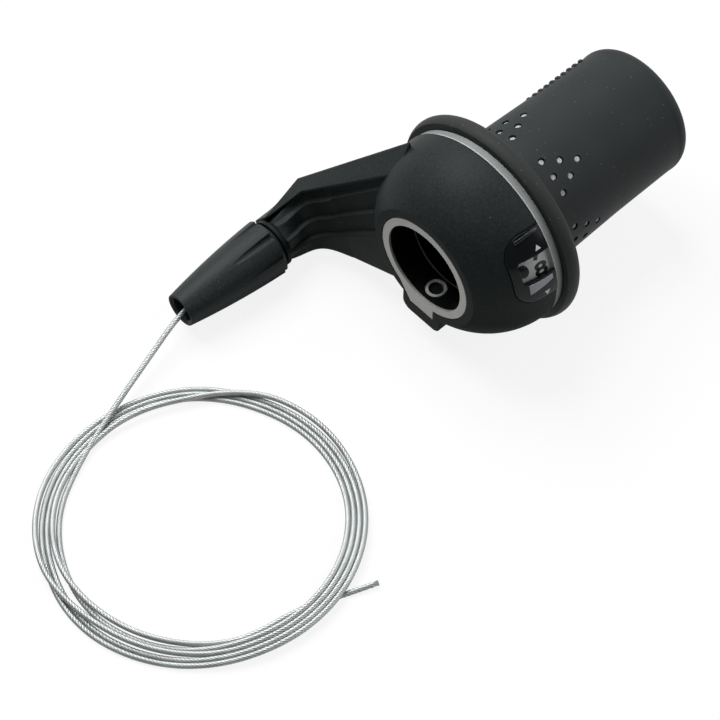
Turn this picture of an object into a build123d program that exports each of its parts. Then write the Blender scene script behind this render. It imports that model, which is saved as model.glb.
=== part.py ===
from build123d import *
from math import acos, cos, degrees, pi, radians, sin, sqrt, tan
import os

os.makedirs("parts", exist_ok=True)

# Right-hand twist grip shifter for a 22.2 mm handlebar, in millimetres.
# X runs along the handlebar towards its outer end, with the origin on the bar axis
# at the inner face of the clamp ring. Everything but the free cable is drawn with the
# cable arm along +Y and then turned about X, so that the barrel hangs towards the floor.
ARM_DROOP = 26.0

# Handlebar clamp
BORE_R = 11.2
RING_WALL = 1.95
RING_LEN = 7.3
LUG_R = 15.9
LUG_STEP = 3.3
LUG_RISE = 3.8
LUG_ANGLE = -90.0 + ARM_DROOP
POCKET_GAP = 0.15
SCREW_R = 2.5
SCREW_LEN = 5.8
SCREW_X = 4.2
SCREW_CUP_R = 1.75
SCREW_CUP_DEPTH = 0.9
HEX_R = 1.45
HEX_DEPTH = 2.6
THREAD_GAP = 0.05

# Housing dome: an arc from the lip, over the shoulder, to the rim
LIP_R = 15.3
SHOULDER_X = 6.0
SHOULDER_R = 21.2
RIM_X = 16.4
RIM_R = 24.4
WALL = 1.2
FRONT_WALL = 3.6
HUB_WALL = 2.3
WEB_T = 2.0
WEB_R = 18.9
BOSS_R = 19.5
BOSS_HALF = 5.9
BOSS_LEN = 8.0
BOSS_ROUND = 2.4
KEY_HOLE_R = 3.1

# Cable arm
ARM_REACH = 43.0
ARM_END_X = -10.0
ARM_END_R = 6.7
ARM_ROUND = 1.5
KNEE_BACK = 13.5
RIBS = 3
RIB_DEPTH = 1.0
LEDGE_RISE = 0.5
LIP = 0.5
VISOR_T = 2.2
VISOR_TUCK = 1.2

# Window and gear numbers
WINDOW_X = 6.6
WINDOW_W = 17.6
WINDOW_ANGLE = 180.0
WINDOW_CORNER = 5.4
FRAME_GAP = 0.12
FRAME_PROUD = 0.15
FRAME_T = 1.05
SLOT_X = 8.6
SLOT_W = 5.8
SLOT_CORNER = 0.6
NUMBER_GAP = 0.3
NUMBER_T = 1.2
NUMBER_X = 8.2
BAND_GAP = 0.3
BAND_LEN = 1.75
BAND_IN = 20.5
BAND_STEP = 0.3
NUMBER_MARGIN = 9.0

# Gear clicks
GEARS = 8
CLICK = 11.0
LEAF_ANGLE = -60.0
LEAF_T = 0.4
LEAF_HALF = 4.2
LEAF_LIFT = 0.4
LEAF_TIP = 0.75
LEAF_MARGIN = 0.1
POST_R = 0.9
POST_GAP = 0.1
DETENT_WALL = 3.37
DETENT_T = 1.9
NOTCH_R = 0.9
NOTCH_OUT = 0.3

# Grip: sleeve, drum, core and rubber
SLEEVE_WALL = 1.2
SLEEVE_LEN = 60.6
SLEEVE_FLANGE_T = 1.0
SLEEVE_FLANGE_R = 15.4
SEAT_GAP = 0.05
RUN_GAP = 0.08
WASHER_T = 0.6
DRUM_LEN = 5.2
DRUM_R = 16.2
GROOVE_HALF = 0.75
GROOVE_R = 14.8
SEAT_R = 14.2
CORE_FLANGE_T = 1.6
CORE_FLANGE_R = 23.8
CORE_R = 15.4
CORE_TAIL = 46.4
BOND_GAP = 0.03
FLANGE_R = 26.3
FLANGE_LEN = 3.6
FLANGE_ROUND = 0.7
FLARE_LEN = 4.6
NECK_R = 16.9
WAIST_R = 16.35
END_R = 16.2
END_ROUND = 3.6
END_DROP = 1.6
GRIP_TAIL = 48.4
RETAINER_T = 1.2
RETAINER_R = 14.0
RETAINER_DEPTH = 0.5
RETAINER_SPLIT = 3.0
RETAINER_GAP = 0.4

# Pits in the rubber, in triangular groups that point outwards
PIT_GROUPS = 6
PIT_ROWS = 3
PIT_R = 0.85
PIT_X = 30.2
PIT_STEP = 3.75
PIT_PITCH = 14.5
PIT_ANGLE = 147.0

# Cable and its way through the arm
CABLE_R = 0.6
WRAP_ANGLE = 45.0
HEAD_R = 2.0
HEAD_LEN = 4.0
HEAD_GAP = 0.1
LEAD = 10.0
GUIDE_LEAD = 3.0
GUIDE_R = 1.5
GUIDE_BORE_R = 0.8
GUIDE_GAP = 0.05
ELBOW_X = 3.4
ELBOW_R = 8.0
LEAD_BEND_R = 16.0

# Barrel adjuster
INSERT_LEN = 4.6
INSERT_R = 4.0
INSERT_SINK = 1.9
BOLT_R = 2.5
BOLT_BORE_R = 1.0
SPRING_R = 3.3
SPRING_WIRE = 0.4
SPRING_TURNS = 1.5
COLLAR_GAP = 0.2
COLLAR_T = 1.0
COLLAR_R = 6.0
COLLAR_BORE_GAP = 0.2
KEY_W = 1.4
KEY_LEN = 3.0
KEY_DEPTH = 0.6
KEY_GAP = 0.15
KNOB_LEN = 27.4
KNOB_R = 7.15
KNOB_NECK_R = 5.1
KNOB_SHOULDER = 1.2
KNOB_SHOULDER_R = 6.1
KNOB_BELLY_R = 6.05
KNOB_MOUTH_R = 4.15
KNOB_GAP = 0.1
FLUTES = 8
FLUTE_R = 1.0
FLUTE_LIFT = 0.1
SOCKET_R = 3.05
MOUTH_BEVEL = 0.6
SOCKET_DEPTH = 9.4

# Free cable on the floor
COIL_X = -67.5
COIL_Y = -1.8
COIL_IN = 30.0
COIL_OUT = 36.0
COIL_H = 3.6

# Sizes that follow from those above
ring_r = BORE_R + RING_WALL
pocket_r = ring_r + POCKET_GAP
hub_r = pocket_r + HUB_WALL
web_x = RING_LEN + POCKET_GAP
web_back = web_x + WEB_T
sleeve_r = BORE_R + SLEEVE_WALL
sleeve_x = RING_LEN + SEAT_GAP
sleeve_end = sleeve_x + SLEEVE_LEN
washer_x = web_back + SLEEVE_FLANGE_T + SEAT_GAP
drum_x = washer_x + WASHER_T + SEAT_GAP
drum_end = drum_x + DRUM_LEN
groove_x = drum_x + DRUM_LEN / 2
detent_x = drum_end + SEAT_GAP
flange_x = detent_x + DETENT_T + SEAT_GAP
flange_end = flange_x + CORE_FLANGE_T
core_in = sleeve_r + RUN_GAP
core_end = flange_end + CORE_TAIL
rubber_x = flange_x + BAND_GAP
grip_end = flange_end + GRIP_TAIL
wind_r = GROOVE_R + SEAT_GAP + CABLE_R
number_inset = WALL + NUMBER_GAP
detent_r = SEAT_R + BOND_GAP + DETENT_WALL
leaf_radius = detent_r + LEAF_LIFT
insert_x = ARM_END_X + INSERT_SINK
insert_end = insert_x + INSERT_LEN
collar_x = ARM_END_X - COLLAR_GAP
knob_x = collar_x - COLLAR_T - KNOB_GAP
knob_end = knob_x - KNOB_LEN
socket_x = knob_end + SOCKET_DEPTH
floor_z = -FLANGE_R


def turned(*points):
    """Solid of revolution about the bar axis from corners (x, radius)."""
    return revolve(make_face(Polyline(*points, close=True)), Axis.X)


def ring(x0, x1, r_in, r_out):
    """Plain ring about the bar axis."""
    return turned((x0, r_in), (x1, r_in), (x1, r_out), (x0, r_out))


def rod(x0, x1, radius):
    """Solid rod about the bar axis."""
    return Pos(X=x0) * (Rot(Y=90) * Cylinder(radius, x1 - x0, align=(Align.CENTER, Align.CENTER, Align.MIN)))


def spoke(x, r0, r1, radius):
    """Solid rod that points away from the bar axis, along +Y."""
    centred = (Align.CENTER, Align.CENTER, Align.MIN)
    return Pos(x, r0, 0) * (Rot(X=-90) * Cylinder(radius, r1 - r0, align=centred))


def block(x0, x1, y0, y1, z0, z1):
    """Box between two corners."""
    return Pos(x0, y0, z0) * Box(x1 - x0, y1 - y0, z1 - z0, align=(Align.MIN, Align.MIN, Align.MIN))


def along_bar(outline, x0, x1):
    """Outline in (y, z) drawn out along the bar axis."""
    return extrude(Plane(origin=(x0, 0, 0), x_dir=(0, 1, 0), z_dir=(1, 0, 0)) * outline, x1 - x0)


def tube(path, radius, bore=0.0):
    """Round tube, or rod, along a path."""
    start = Plane(origin=path @ 0, z_dir=path % 0)
    section = Circle(radius)
    if bore:
        section = section - Circle(bore)
    return sweep(start * section, path=path)


dome = ThreePointArc((0, LIP_R), (SHOULDER_X, SHOULDER_R), (RIM_X, RIM_R))
dome_centre = dome.arc_center
dome_sweep = dome.radius


def dome_radius(x, inset=0.0):
    """Radius about the bar axis at a depth below the dome's skin."""
    return dome_centre.Y + sqrt((dome_sweep - inset) ** 2 - (x - dome_centre.X) ** 2)


def dome_edge(x0, x1, inset):
    """Arc that follows the dome's skin at a depth below it."""
    stations = (x0, (x0 + x1) / 2, x1)
    return ThreePointArc(*[(x, dome_radius(x, inset)) for x in stations])


def dome_layer(x0, x1, outer, inner, middle, half):
    """Part of the dome's wall between two depths, half an angle each side of the middle."""
    skin = dome_edge(x0, x1, outer)
    lining = dome_edge(x0, x1, inner)
    sides = [Line(skin @ 0, lining @ 0), Line(skin @ 1, lining @ 1)]
    layer = revolve(make_face([skin, lining, *sides]), Axis.X, revolution_arc=2 * half)
    return Rot(X=middle - half) * layer


def window_prism(x0, width, corner):
    """Opening in the dome, drawn through its wall and open towards the rim."""
    length = RIM_X + 2 * corner - x0
    outline = Pos(x0 + length / 2, 0) * RectangleRounded(length, width, corner)
    prism = extrude(Plane.XZ * outline, RIM_R + 5) & rod(x0 - 1, RIM_X + 1, RIM_R + 5)
    return Rot(X=WINDOW_ANGLE - 180) * prism


def clamp_outline(gap):
    """Ring and lug seen along the bar, with the lug towards +Y."""
    flat = LUG_R + gap
    top = LUG_RISE + gap
    root = (ring_r + gap) * cos(radians(35)), (ring_r + gap) * sin(radians(35))
    lug = Polyline((0, -LUG_STEP - gap), (flat, -LUG_STEP - gap), (flat, top), root, (0, root[1]), close=True)
    return Circle(ring_r + gap) + make_face(lug)


def clamp_ring():
    body = along_bar(clamp_outline(0), 0, RING_LEN) - rod(-1, RING_LEN + 1, BORE_R)
    body = body - spoke(SCREW_X, 0, LUG_R + 1, SCREW_R + THREAD_GAP)
    return Rot(X=LUG_ANGLE) * body


def clamp_screw():
    tip = BORE_R + SEAT_GAP
    head = tip + SCREW_LEN
    body = spoke(SCREW_X, tip, head, SCREW_R)
    body = body - spoke(SCREW_X, tip - 1, tip + SCREW_CUP_DEPTH, SCREW_CUP_R)
    socket = Plane(origin=(SCREW_X, head, 0), z_dir=(0, 1, 0)) * RegularPolygon(HEX_R, 6)
    return Rot(X=LUG_ANGLE) * (body - extrude(socket, -HEX_DEPTH))


def bar_sleeve():
    body = ring(sleeve_x, sleeve_end, BORE_R, sleeve_r)
    flange = ring(web_back, web_back + SLEEVE_FLANGE_T, sleeve_r - SEAT_GAP, SLEEVE_FLANGE_R)
    groove_x0 = core_end + RETAINER_GAP - SEAT_GAP
    groove_x1 = core_end + RETAINER_GAP + RETAINER_T + SEAT_GAP
    return body + flange - ring(groove_x0, groove_x1, sleeve_r - RETAINER_DEPTH, sleeve_r + 1)


def grip_retainer():
    x0 = core_end + RETAINER_GAP
    body = ring(x0, x0 + RETAINER_T, sleeve_r - RETAINER_DEPTH + SEAT_GAP, RETAINER_R)
    split = block(x0 - 1, x0 + RETAINER_T + 1, 0, RETAINER_R + 1, -RETAINER_SPLIT / 2, RETAINER_SPLIT / 2)
    return body - split


def thrust_washer():
    return ring(washer_x, washer_x + WASHER_T, sleeve_r + RUN_GAP, SLEEVE_FLANGE_R)


# Cable route in the arm: off the drum, straight to the guide, round the elbow, along the barrel
leave_angle = acos(wind_r / ARM_REACH)
leave = Vector(groove_x, wind_r * cos(leave_angle), wind_r * sin(leave_angle))
lead = leave + Vector(0, sin(leave_angle), -cos(leave_angle)) * LEAD
elbow = Vector(ELBOW_X, ARM_REACH, 0)
guide_start = lead + (elbow - lead).normalized() * GUIDE_LEAD


def upright(inner, across):
    """Upright plane that stands on the inner point and runs across the arm."""
    direction = Vector(*across).normalized()
    return Plane(origin=(*inner, 0), x_dir=direction, z_dir=direction.cross(Vector(0, 0, 1)))


def visor_section(inner, across, brow, ridge):
    """Section of the arm's top band, from its front edge, the brow, to its back edge, the ridge."""
    outline = Polyline(
        brow,
        ridge,
        (ridge[0], ridge[1] - VISOR_T),
        (brow[0] + VISOR_T, brow[1] - VISOR_T),
        (brow[0], brow[1] - LIP),
        close=True,
    )
    return upright(inner, across) * make_face(outline)


def arm_section(inner, across, brow, ridge, shoulder, foot, drop, pitch, toe=0.0, belly=0.0, rib=RIB_DEPTH):
    """Section of the arm below its top band: smooth back, ribbed inner flank.

    The shoulder is the fullest point of the back and the foot the outer corner at the bottom.
    The flank runs from the brow to the toe and bulges inwards by the belly. Its ledges start
    a drop below the brow, one pitch apart.
    """
    top = brow[1]
    bottom = foot[1]

    def skin(z, depth=0.0):
        share = (z - bottom) / (top - bottom)
        return toe + (brow[0] - toe) * share - 4 * belly * share * (1 - share) + depth, z

    flank = [skin(top - VISOR_TUCK, rib)]
    for k in range(RIBS):
        z = top - drop - k * pitch
        flank.append(skin(z, rib))
        flank.append(skin(z - LEDGE_RISE))
    flank.append(skin(bottom + LIP, rib / 2))
    crest = (ridge[0], ridge[1] - VISOR_TUCK)
    face = make_face(Polyline((toe + LIP, bottom), foot, shoulder, crest, *flank, close=True))
    rounded = [v for v in face.vertices() if abs(v.X - foot[0]) + abs(v.Y - foot[1]) < 0.01]
    return upright(inner, across) * fillet(rounded, ARM_ROUND)


def arm():
    """Arm from the dome, with a straight top band up to a bend, to the round end at the barrel."""
    r = ARM_END_R
    side = ARM_REACH - r
    root = ((0.8, 8.0), (1, 0), (5.7, 19.0), (11.2, 23.7))
    bend = ((-2.5, side), (0.5, 0.85), (2.4, 10.1), (7.1, 10.9))
    end = ((ARM_END_X, side), (0, 1), (r, 1.05 * r), (1.85 * r, 0.62 * r))
    neck_x = 0.6 * ARM_END_X
    knee = arm_section(
        (0.3, ARM_REACH - KNEE_BACK), (1, 0.45), (0.8, 12.7), (4.8, 14.9), (11.6, 8.5), (11.4, -7.6), 3.1, 5.0,
    )
    neck = [
        knee,
        arm_section(
            (-1.0, side - 2.2), (0.7, 0.72), (1.1, 11.1), (5.3, 12.5), (10.0, 6.3), (9.6, -6.6),
            3.1, 4.7, 0.4, 0.3,
        ),
        arm_section(*bend, (9.5, 4.5), (8.8, -5.8), 3.0, 4.4, 0.8, 0.6),
        arm_section(
            (neck_x, side + 0.5), (0, 1), (4.1, 8.5), (9.6, 6.5), (12.6, 1.5), (10.0, -5.4),
            2.4, 3.8, 2.5, 2.6,
        ),
        arm_section(*end, (2.03 * r, 0), (1.55 * r, -0.9 * r), 0.2 * r, 0.48 * r, r, 0.96 * r, 0.4),
    ]
    straight = loft([arm_section(*root, (15.5, 13.0), (15.0, -8.6), 2.4, 5.9), knee], ruled=True)
    visor = loft([visor_section(*place) for place in (root, bend, end)], ruled=True)
    return straight + loft(neck) + visor - rod(RIM_X, RIM_X + 2 * ARM_REACH, 2 * ARM_REACH)


def boss():
    outline = Pos(BOSS_R / 2, (LUG_RISE - LUG_STEP) / 2) * RectangleRounded(BOSS_R, 2 * BOSS_HALF, BOSS_ROUND)
    return Rot(X=LUG_ANGLE) * along_bar(outline, 0, BOSS_LEN)


def hex_prism(x0, x1, radius):
    """Hexagon drawn out along the barrel axis."""
    return Pos(Y=ARM_REACH) * along_bar(RegularPolygon(radius, 6), x0, x1)


def collar_keys(gap):
    """Two keys that stop the collar from turning, on opposite sides of the barrel axis."""
    half = KEY_W / 2 + gap
    low = INSERT_R + KEY_GAP
    high = low + KEY_DEPTH + gap
    key = block(collar_x, collar_x + KEY_LEN + gap, low - gap, high, -half, half)
    return Pos(Y=ARM_REACH) * (Rot(X=90) * key + Rot(X=-90) * key)


def leaf_posts():
    """Two pegs on the web that hold the leaf by its ends."""
    reach = LEAF_HALF + POST_GAP + POST_R
    length = flange_x - LEAF_MARGIN - web_x
    peg = Rot(Y=90) * Cylinder(POST_R, length, align=(Align.CENTER, Align.CENTER, Align.MIN))
    pegs = Pos(web_x, leaf_radius, reach) * peg + Pos(web_x, leaf_radius, -reach) * peg
    return Rot(X=LEAF_ANGLE) * pegs


def housing():
    outer_face = make_face([
        Line((0, pocket_r), (0, LIP_R)),
        dome,
        Line((RIM_X, RIM_R), (RIM_X, pocket_r)),
        Line((RIM_X, pocket_r), (0, pocket_r)),
    ])
    lining = dome_edge(FRONT_WALL, RIM_X, WALL)
    hollow = make_face([
        lining,
        Polyline(
            lining @ 1, (RIM_X, 0), (web_back, 0), (web_back, WEB_R), (web_x, WEB_R), (web_x, hub_r),
            (FRONT_WALL, hub_r), lining @ 0,
        ),
    ])
    body = revolve(outer_face, Axis.X) + arm() + boss()
    web = ring(web_x, web_back, sleeve_r + SEAT_GAP, WEB_R)
    body = body - revolve(hollow, Axis.X) + web + leaf_posts()
    body = body - Rot(X=LUG_ANGLE) * along_bar(clamp_outline(POCKET_GAP), -1, web_x)
    body = body - Rot(X=LUG_ANGLE) * spoke(SCREW_X, LUG_R - 1, BOSS_R + 10, KEY_HOLE_R)
    body = body - rod(-1, RIM_X, sleeve_r + SEAT_GAP)
    body = body - (window_prism(WINDOW_X, WINDOW_W, WINDOW_CORNER) - rod(0, RIM_X, hub_r))
    channel = FilletPolyline(lead, elbow, (insert_end - 1, ARM_REACH, 0), radius=ELBOW_R)
    body = body - tube(channel, GUIDE_R + GUIDE_GAP)
    body = body - hex_prism(ARM_END_X - 1, insert_end, INSERT_R + SEAT_GAP)
    return body - collar_keys(KEY_GAP)


def window_frame():
    layer = dome_layer(SLOT_X - 5, RIM_X, -FRAME_PROUD, FRAME_T - FRAME_PROUD, WINDOW_ANGLE, 40)
    body = layer & window_prism(WINDOW_X + FRAME_GAP, WINDOW_W - 2 * FRAME_GAP, WINDOW_CORNER - FRAME_GAP)
    return body - window_prism(SLOT_X, SLOT_W, SLOT_CORNER)


def number_ring():
    band_x = RIM_X + BAND_GAP
    band = ring(band_x, flange_x, BAND_IN, RIM_R - BAND_STEP)
    travel = (GEARS - 1) * CLICK
    half = travel / 2 + NUMBER_MARGIN
    middle = WINDOW_ANGLE - travel / 2
    skirt = dome_layer(NUMBER_X, band_x + BAND_LEN / 2, number_inset, number_inset + NUMBER_T, middle, half)
    return band + skirt


def detent_ring():
    body = ring(detent_x, detent_x + DETENT_T, SEAT_R + BOND_GAP, detent_r)
    notch = Pos(detent_x - 1, detent_r + NOTCH_OUT, 0) * rod(0, DETENT_T + 2, NOTCH_R)
    return body - [Rot(X=LEAF_ANGLE - CLICK * k) * notch for k in range(GEARS)]


def detent_spring():
    top = leaf_radius + LEAF_T / 2
    low = leaf_radius - LEAF_T / 2
    slope = LEAF_TIP * 1.6
    upper = [(top, -LEAF_HALF), (top, -slope), (top - LEAF_TIP, 0), (top, slope), (top, LEAF_HALF)]
    lower = [(low, LEAF_HALF), (low, slope), (low - LEAF_TIP, 0), (low, -slope), (low, -LEAF_HALF)]
    outline = make_face(Polyline(*upper, *lower, close=True))
    return Rot(X=LEAF_ANGLE) * along_bar(outline, detent_x + LEAF_MARGIN, flange_x - LEAF_MARGIN)


def head_place():
    """Turn from +Z to the cable head's place on the drum."""
    return Rot(X=degrees(leave_angle) + WRAP_ANGLE - 90)


def cable_head():
    nipple = Pos(groove_x, HEAD_LEN / 2, wind_r) * (Rot(X=90) * Cylinder(HEAD_R, HEAD_LEN))
    return head_place() * (Pos(Y=-HEAD_LEN) * nipple)


def grip_core():
    body = turned(
        (drum_x, core_in),
        (drum_x, DRUM_R),
        (groove_x - GROOVE_HALF, DRUM_R),
        (groove_x - GROOVE_HALF, GROOVE_R),
        (groove_x + GROOVE_HALF, GROOVE_R),
        (groove_x + GROOVE_HALF, DRUM_R),
        (drum_end, DRUM_R),
        (drum_end, SEAT_R),
        (flange_x, SEAT_R),
        (flange_x, CORE_FLANGE_R),
        (flange_end, CORE_FLANGE_R),
        (flange_end, CORE_R),
        (core_end, CORE_R),
        (core_end, core_in),
    )
    bay = HEAD_R + HEAD_GAP
    pocket = block(groove_x - bay, groove_x + bay, -HEAD_LEN - HEAD_GAP, 0, wind_r - bay, DRUM_R + 2)
    return body - head_place() * pocket


def grip_rubber():
    rim_end = rubber_x + FLANGE_LEN
    flare_end = rim_end + FLARE_LEN
    round_x = grip_end - END_ROUND
    face_r = END_R - END_DROP
    flange_in = CORE_FLANGE_R + BOND_GAP
    tube_in = CORE_R + BOND_GAP
    lip_in = RETAINER_R + RETAINER_GAP
    side_r = FLANGE_R - FLANGE_ROUND
    bend = 0.29
    flare_mid = (rim_end + FLARE_LEN * bend, NECK_R + (side_r - NECK_R) * bend)
    round_mid = (grip_end - END_ROUND * bend, END_R - END_DROP * bend)
    outline = make_face([
        Line((rubber_x, flange_in), (rubber_x, side_r)),
        ThreePointArc((rubber_x, side_r), ((rubber_x + rim_end) / 2, FLANGE_R), (rim_end, side_r)),
        ThreePointArc((rim_end, side_r), flare_mid, (flare_end, NECK_R)),
        Polyline((flare_end, NECK_R), ((flare_end + round_x) / 2, WAIST_R), (round_x, END_R)),
        ThreePointArc((round_x, END_R), round_mid, (grip_end, face_r)),
        Polyline(
            (grip_end, face_r), (grip_end, lip_in),
            (core_end + SEAT_GAP, lip_in), (core_end + SEAT_GAP, tube_in),
            (flange_end + BOND_GAP, tube_in), (flange_end + BOND_GAP, flange_in), (rubber_x, flange_in),
        ),
    ])
    pits = []
    for group in range(PIT_GROUPS):
        middle = PIT_ANGLE + 360 / PIT_GROUPS * group
        for row in range(PIT_ROWS):
            count = PIT_ROWS - row
            for k in range(count):
                turn = middle + (k - (count - 1) / 2) * PIT_PITCH
                pits.append(Rot(X=turn) * spoke(PIT_X + PIT_STEP * row, CORE_R - 0.5, NECK_R + 2, PIT_R))
    return revolve(outline, Axis.X) - pits


def cable_wrap():
    section = Plane(origin=(groove_x, wind_r, 0)) * Circle(CABLE_R)
    arc = revolve(section, Axis.X, revolution_arc=WRAP_ANGLE)
    return Rot(X=degrees(leave_angle)) * arc


def cable_run():
    path = FilletPolyline(leave, lead, elbow, (socket_x, ARM_REACH, 0), radius=[LEAD_BEND_R, ELBOW_R])
    return tube(path, CABLE_R)


def cable_guide():
    path = FilletPolyline(guide_start, elbow, (insert_end + SEAT_GAP, ARM_REACH, 0), radius=ELBOW_R)
    return tube(path, GUIDE_R, GUIDE_BORE_R)


def adjuster_insert():
    bore = Pos(Y=ARM_REACH) * rod(insert_x - 1, insert_end + 1, BOLT_R + THREAD_GAP)
    return hex_prism(insert_x, insert_end - SEAT_GAP, INSERT_R) - bore


def adjuster_spring():
    rise = insert_x - collar_x - 2 * SPRING_WIRE - 2 * SEAT_GAP
    coil = Helix(pitch=rise / SPRING_TURNS, height=rise, radius=SPRING_R)
    flat = Plane(origin=coil @ 0, x_dir=(1, 0, 0), z_dir=coil % 0)
    wire = sweep(flat * Rectangle(SPRING_WIRE, SPRING_WIRE), path=coil, is_frenet=True)
    return Pos(collar_x + SPRING_WIRE + SEAT_GAP, ARM_REACH, 0) * (Rot(Y=90) * wire)


def adjuster_collar():
    body = Pos(Y=ARM_REACH) * ring(collar_x - COLLAR_T, collar_x, BOLT_R + COLLAR_BORE_GAP, COLLAR_R)
    return body + collar_keys(0)


def adjuster_bolt():
    return Pos(Y=ARM_REACH) * ring(socket_x, insert_end - SEAT_GAP, BOLT_BORE_R, BOLT_R)


def adjuster_knob():
    shoulder_x = knob_x - KNOB_SHOULDER
    shoulder_mid = (knob_x - 0.4 * KNOB_SHOULDER, KNOB_SHOULDER_R - 0.25)
    bevel_x = knob_end + MOUTH_BEVEL
    bolt_hole = BOLT_R + BOND_GAP
    profile = make_face([
        Line((shoulder_x, KNOB_R), (shoulder_x, KNOB_SHOULDER_R)),
        ThreePointArc((shoulder_x, KNOB_SHOULDER_R), shoulder_mid, (knob_x, KNOB_NECK_R)),
        Polyline((knob_x, KNOB_NECK_R), (knob_x, bolt_hole), (socket_x, bolt_hole), (socket_x, SOCKET_R)),
        Polyline((socket_x, SOCKET_R), (bevel_x, SOCKET_R), (knob_end, SOCKET_R + MOUTH_BEVEL)),
        Line((knob_end, SOCKET_R + MOUTH_BEVEL), (knob_end, KNOB_MOUTH_R)),
        ThreePointArc(
            (knob_end, KNOB_MOUTH_R),
            ((shoulder_x + knob_end) / 2, KNOB_BELLY_R),
            (shoulder_x, KNOB_R),
        ),
    ])
    body = revolve(profile, Axis.X)
    flute = Pos(Y=KNOB_SHOULDER_R + FLUTE_LIFT + FLUTE_R) * rod(knob_end, knob_x, FLUTE_R)
    body = body - [Rot(X=360 / FLUTES * k) * flute for k in range(FLUTES)]
    return Pos(Y=ARM_REACH) * body


def coil():
    """Outer shape of the coiled cable, flat on the floor."""
    height = Align.CENTER, Align.CENTER, Align.MIN
    body = Cylinder(COIL_OUT, COIL_H, align=height) - Cylinder(COIL_IN, COIL_H, align=height)
    return Pos(COIL_X, COIL_Y, floor_z) * body


def free_cable(points):
    """Loose cable through hand-chosen points, each bend as wide as its runs allow."""
    route = [Vector(*p) for p in points]
    radii = []
    for before, here, after in zip(route, route[1:], route[2:]):
        run = min((here - before).length, (after - here).length)
        half_turn = radians((here - before).get_angle(after - here)) / 2
        radii.append(0.45 * run / tan(half_turn))
    print("bend radii", [round(r, 1) for r in radii])
    path = FilletPolyline(*route, radius=radii)
    loose = tube(path, CABLE_R)
    print("volume over section times length", round(loose.volume / (pi * CABLE_R ** 2 * path.length), 4))
    return loose - coil()


barrel_y = ARM_REACH * cos(radians(ARM_DROOP))
barrel_z = -ARM_REACH * sin(radians(ARM_DROOP))
tail_points = [
    (socket_x, barrel_y, barrel_z),
    (socket_x - 5.2, barrel_y, barrel_z),
    (socket_x - 12.0, barrel_y - 0.6, barrel_z - 1.4),
    (-51.0, 35.3, -21.9),
    (-62.5, 32.0, -23.6),
    (-73.0, 28.6, -24.8),
]
end_points = [
    (-67.0, -32.9, -25.2),
    (-58.8, -36.5, -25.2),
    (-50.6, -39.8, -24.9),
]

lying = Rot(X=-ARM_DROOP)
fixed_to_bar = [
    housing, clamp_ring, clamp_screw, bar_sleeve, window_frame, detent_spring, cable_guide, adjuster_insert,
    thrust_washer, grip_retainer, cable_wrap, cable_run,
]
turning = [grip_core, grip_rubber, number_ring, detent_ring, cable_head]
adjuster = [adjuster_collar, adjuster_spring, adjuster_bolt, adjuster_knob]
for make in fixed_to_bar + turning + adjuster:
    export_step(lying * make(), f"parts/{make.__name__}.step")
export_step(free_cable(tail_points), "parts/cable_tail.step")
export_step(coil(), "parts/cable_coil.step")
export_step(free_cable(end_points), "parts/cable_end.step")
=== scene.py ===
from math import cos, pi, radians, sin

import bpy
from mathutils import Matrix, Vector


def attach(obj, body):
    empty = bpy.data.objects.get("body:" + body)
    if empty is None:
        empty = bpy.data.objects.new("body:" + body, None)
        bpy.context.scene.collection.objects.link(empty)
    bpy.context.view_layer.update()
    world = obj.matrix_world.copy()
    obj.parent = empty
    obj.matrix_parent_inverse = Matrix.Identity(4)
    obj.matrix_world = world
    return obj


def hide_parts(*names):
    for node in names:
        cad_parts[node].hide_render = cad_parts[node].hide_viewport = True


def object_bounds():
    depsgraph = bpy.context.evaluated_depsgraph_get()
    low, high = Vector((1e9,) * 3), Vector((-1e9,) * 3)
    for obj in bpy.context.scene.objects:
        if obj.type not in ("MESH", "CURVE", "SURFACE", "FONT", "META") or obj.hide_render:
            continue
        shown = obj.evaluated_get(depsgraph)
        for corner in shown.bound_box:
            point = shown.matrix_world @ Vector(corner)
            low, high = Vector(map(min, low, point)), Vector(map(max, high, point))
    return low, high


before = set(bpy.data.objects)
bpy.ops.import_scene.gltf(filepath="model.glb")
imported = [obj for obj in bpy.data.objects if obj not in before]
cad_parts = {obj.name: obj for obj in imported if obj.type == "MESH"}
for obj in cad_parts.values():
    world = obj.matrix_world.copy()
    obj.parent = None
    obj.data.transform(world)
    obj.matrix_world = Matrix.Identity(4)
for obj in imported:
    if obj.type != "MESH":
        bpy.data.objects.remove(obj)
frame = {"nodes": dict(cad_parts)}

bl_info = {
    "name": "Twist grip shifter",
    "version": (1, 0, 0),
    "blender": (4, 5, 0),
    "location": "View3D > Sidebar > Shifter",
    "description": "Dresses the packed twist grip shifter with finishes, cable and gear numbers",
    "category": "Object",
}

nodes = frame["nodes"]
cad_box = [list(corner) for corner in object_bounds()]
floor_z = cad_box[0][2]

# Route of the free cable from the barrel to the coil, and out of the coil to its cut end
tail_points = [
    (-0.0293, 0.038648, -0.01885),
    (-0.0345, 0.038648, -0.01885),
    (-0.0413, 0.038048, -0.02025),
    (-0.0510, 0.0353, -0.0219),
    (-0.0625, 0.0320, -0.0236),
    (-0.0730, 0.0286, -0.0248),
]
end_points = [
    (-0.0670, -0.0329, -0.0256),
    (-0.0588, -0.0365, -0.0256),
    (-0.0506, -0.0398, -0.0254),
]

# Turns of the coil: the place of each lap in the band, counted from the inside, first on the
# long way round the left, the bottom and the right, then over the top
COIL_START = 115
COIL_STOP = 1695
POINTS_PER_TURN = 24
low_places = (1, 3, 2, 4, 0)
high_places = (2, 4, 3, 1)
LEFT_CROSSING = (150, 190)
RIGHT_CROSSING = (380, 420)
# Middle angle and half width of each stretch that lies on top of other laps
humps = [(890, 40), (1480, 40), (1610, 40)] + [(281 + 360 * lap, 30) for lap in range(4)]
HUMP_SIDE = 30
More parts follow.
